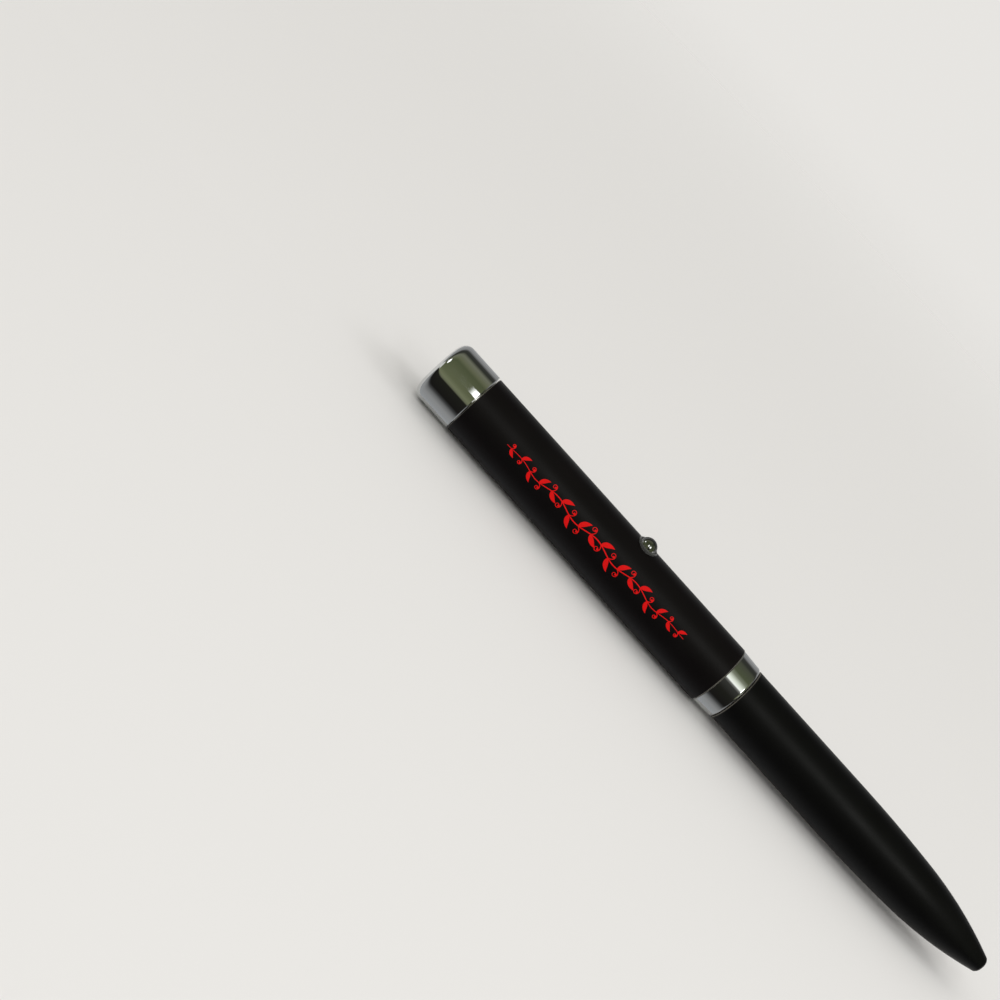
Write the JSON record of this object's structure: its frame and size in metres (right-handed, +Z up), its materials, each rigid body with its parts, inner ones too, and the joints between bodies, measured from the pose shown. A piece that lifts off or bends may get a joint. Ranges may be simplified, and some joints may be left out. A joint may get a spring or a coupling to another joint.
{
  "type": "projection pen",
  "caption": "Slim black twist-action ballpoint pen with an LED slide projector, chrome focusing head, side push button and chrome centre ring.",
  "frame": {"origin": "on the table under the middle of the pen's length, where the lying pen's head touches the table", "axes": "+X from the head to the writing tip, along the pen; +Z up, towards the push button"},
  "size_m": [0.1354, 0.0122, 0.0137],
  "materials": {
    "chrome": "polished plating",
    "black_lacquer": "satin black lacquer",
    "black_chrome": "polished dark plating",
    "dull_steel": "turned and dulled",
    "spring_steel": "bright drawn wire",
    "cell_steel": "nickel plated",
    "nickel_plate": "turned and nickel plated",
    "brass": "turned",
    "refill_metal": "bright",
    "clear_lens": "moulded and polished",
    "clear_lamp": "clear resin",
    "film": "thin frosted film",
    "black_plastic": "matt, against stray light",
    "grey_plastic": "moulded",
    "white_plastic": "moulded",
    "natural_plastic": "moulded, self-lubricating",
    "green_board": "laminate with solder mask",
    "red_ink": "thin printed ink"
  },
  "bodies": {
    "projector": {"upper_barrel": "black_lacquer", "focus_sleeve": "nickel_plate", "light_tube": "black_plastic", "film_ring": "black_plastic", "film_slide": "film", "led": "clear_lamp", "led_leads": "spring_steel", "switch_carrier": "grey_plastic", "circuit_board": "green_board", "switch_body": "black_plastic", "switch_legs": "spring_steel", "resistor": "black_plastic", "ground_tab": "brass", "button_bezel": "dull_steel", "contact_plate": "brass", "button_cell_1": "cell_steel", "button_cell_2": "cell_steel", "button_cell_3": "cell_steel", "battery_sleeve": "white_plastic", "battery_spring": "spring_steel", "battery_plug": "brass", "centre_ring": "chrome", "cam_tube": "white_plastic"},
    "lens_slide": {"lens_cell": "black_plastic", "projection_lens": "clear_lens"},
    "head": {"head_ring": "chrome", "lens_clip": "spring_steel"},
    "button": {"button_cap": "black_chrome", "switch_plunger": "white_plastic"},
    "lower_half": {"lower_barrel": "black_lacquer", "guide_sleeve": "natural_plastic"},
    "refill": {"carriage": "brass", "follower_pins": "spring_steel", "refill_tube": "refill_metal", "refill_nib": "refill_metal", "writing_ball": "spring_steel"}
  },
  "joints": [
    {"name": "focus_slide", "type": "slide", "parent": "projector", "child": "lens_slide", "axis": [-1, 0, 0], "range_m": [0, 0.001]},
    {"name": "focus_turn", "type": "hinge", "parent": "lens_slide", "child": "head", "pos_m": [-0.0677, 0, 0.00615], "axis": [1, 0, 0], "range_deg": [0, 360]},
    {"name": "button_press", "type": "slide", "parent": "projector", "child": "button", "axis": [0, 0, -1], "range_m": [0, 0.0005], "stiffness_N_per_m": 1000, "springref_m": -0.0005},
    {"name": "barrel_twist", "type": "hinge", "parent": "projector", "child": "lower_half", "pos_m": [0.006, 0, 0.00615], "axis": [1, 0, 0], "range_deg": [0, 180]},
    {"name": "refill_slide", "type": "slide", "parent": "lower_half", "child": "refill", "axis": [1, 0, 0], "range_m": [0, 0.0045]}
  ],
  "couplings": [
    {"joint": "focus_slide", "follows": "focus_turn", "m_per_rad": 0.00015915},
    {"joint": "refill_slide", "follows": "barrel_twist", "m_per_rad": 0.0014324}
  ]
}
